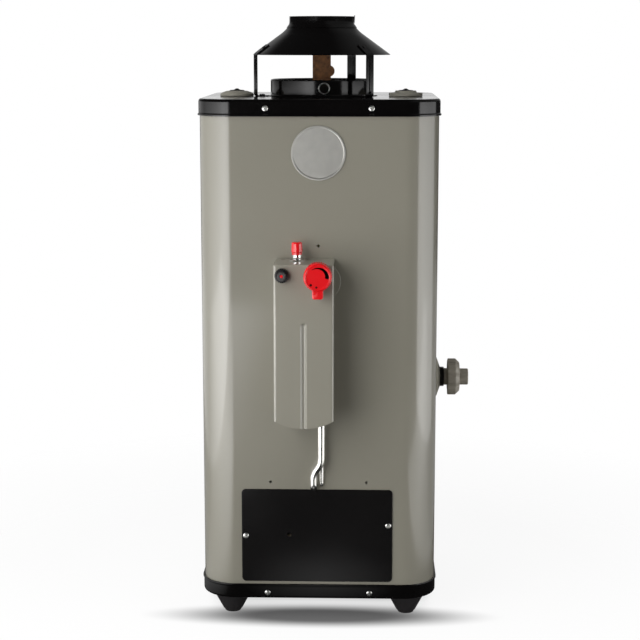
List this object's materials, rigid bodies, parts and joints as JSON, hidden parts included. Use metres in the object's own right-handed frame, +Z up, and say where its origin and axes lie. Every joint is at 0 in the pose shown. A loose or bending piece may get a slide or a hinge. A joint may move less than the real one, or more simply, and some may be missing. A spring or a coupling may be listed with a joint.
{
  "type": "floor-standing gas water heater",
  "caption": "Square-jacketed floor-standing gas water heater with a draft hood, front thermostat control, burner tubes and a side drain valve.",
  "frame": {"origin": "on the floor, under the vertical axis of the jacket and the flue", "axes": "+Z up, -Y out of the front with the control, +X to the right as seen from the front"},
  "size_m": [0.3923, 0.4306, 0.8618],
  "materials": {
    "jacket_paint": "warm grey baked paint, semi-gloss",
    "black_enamel": "black gloss enamel",
    "black_plastic": "moulded black plastic",
    "bright_steel": "zinc-plated and polished",
    "satin_aluminium": "satin, brushed in rings",
    "tube_aluminium": "drawn tube, bright",
    "raw_steel": "mill finish",
    "scaled_steel": "brown heat scale",
    "cast_iron": "as cast",
    "brass": "turned",
    "ceramic": "glazed ceramic",
    "white_plastic": "plain plastic tube",
    "fibre_board": "pressed ceramic fibre",
    "mineral_wool": "loose glass wool",
    "red_plastic": "moulded red plastic",
    "drain_plastic": "moulded dark grey plastic"
  },
  "bodies": {
    "body": {"jacket": "jacket_paint", "shank_escutcheon": "jacket_paint", "control_cover": "jacket_paint", "base_pan": "black_enamel", "top_cover": "black_enamel", "access_door": "black_enamel", "flue_collar": "black_enamel", "hood_skirt": "black_enamel", "hood_leg_left": "black_enamel", "hood_leg_rear": "black_enamel", "hood_leg_front": "black_enamel", "hood_rivets": "black_enamel", "foot_front_left": "black_plastic", "foot_front_right": "black_plastic", "foot_rear_left": "black_plastic", "foot_rear_right": "black_plastic", "igniter_body": "black_plastic", "igniter_bezel": "black_plastic", "igniter_lead": "black_plastic", "pan_screws": "bright_steel", "front_screws": "bright_steel", "hood_screws": "bright_steel", "button_bushing": "bright_steel", "igniter_spring": "bright_steel", "button_spring": "bright_steel", "emblem_plate": "satin_aluminium", "anode_rod": "satin_aluminium", "burner_tube": "tube_aluminium", "pilot_tube": "tube_aluminium", "combustion_chamber": "raw_steel", "floor_shield": "raw_steel", "burner_stand": "raw_steel", "tank_shell": "raw_steel", "tank_bottom_head": "raw_steel", "tank_top_head": "raw_steel", "flue_tube": "raw_steel", "baffle_pin": "raw_steel", "hot_spud": "raw_steel", "cold_spud": "raw_steel", "flue_baffle": "scaled_steel", "burner": "cast_iron", "valve_body": "cast_iron", "orifice_holder": "brass", "pilot_burner": "brass", "thermocouple": "brass", "thermostat_probe": "brass", "tube_nuts": "brass", "spark_electrode": "ceramic", "dip_tube": "white_plastic", "door_liner": "fibre_board", "insulation": "mineral_wool", "drain_valve_body": "drain_plastic"},
    "temperature_dial": {"temperature_knob": "red_plastic", "knob_shaft": "raw_steel"},
    "button": {"push_button": "red_plastic"},
    "plunger": {"igniter_plunger": "black_plastic"},
    "drain_handle": {"drain_knob": "drain_plastic"},
    "drain_stopper": {"drain_plug": "black_plastic"},
    "hot_cap": {"hot_port_cap": "jacket_paint"},
    "cold_cap": {"cold_port_cap": "jacket_paint"}
  },
  "joints": [
    {"name": "temperature_turn", "type": "hinge", "parent": "body", "child": "temperature_dial", "pos_m": [0.0016, -0.2385, 0.5134], "axis": [0, -1, 0], "range_deg": [0, 270]},
    {"name": "button_press", "type": "slide", "parent": "body", "child": "button", "axis": [0, 0, -1], "range_m": [0, 0.006], "stiffness_N_per_m": 300, "springref_m": -0.004, "deforming": ["button_spring"]},
    {"name": "igniter_press", "type": "slide", "parent": "body", "child": "plunger", "axis": [0, 1, 0], "range_m": [0, 0.005], "stiffness_N_per_m": 300, "springref_m": -0.004, "deforming": ["igniter_spring"]},
    {"name": "drain_turn", "type": "hinge", "parent": "body", "child": "drain_handle", "pos_m": [0.199, 0, 0.326], "axis": [1, 0, 0], "range_deg": [0, 360]},
    {"name": "drain_stopper_slide", "type": "slide", "parent": "body", "child": "drain_stopper", "axis": [1, 0, 0], "range_m": [0, 0.0041]},
    {"name": "hot_cap_lift", "type": "slide", "parent": "body", "child": "hot_cap", "axis": [0, 0, 1], "range_m": [0, 0.03]},
    {"name": "cold_cap_lift", "type": "slide", "parent": "body", "child": "cold_cap", "axis": [0, 0, 1], "range_m": [0, 0.03]}
  ],
  "couplings": [
    {"joint": "drain_stopper_slide", "follows": "drain_turn", "m_per_rad": 0.00063662}
  ]
}
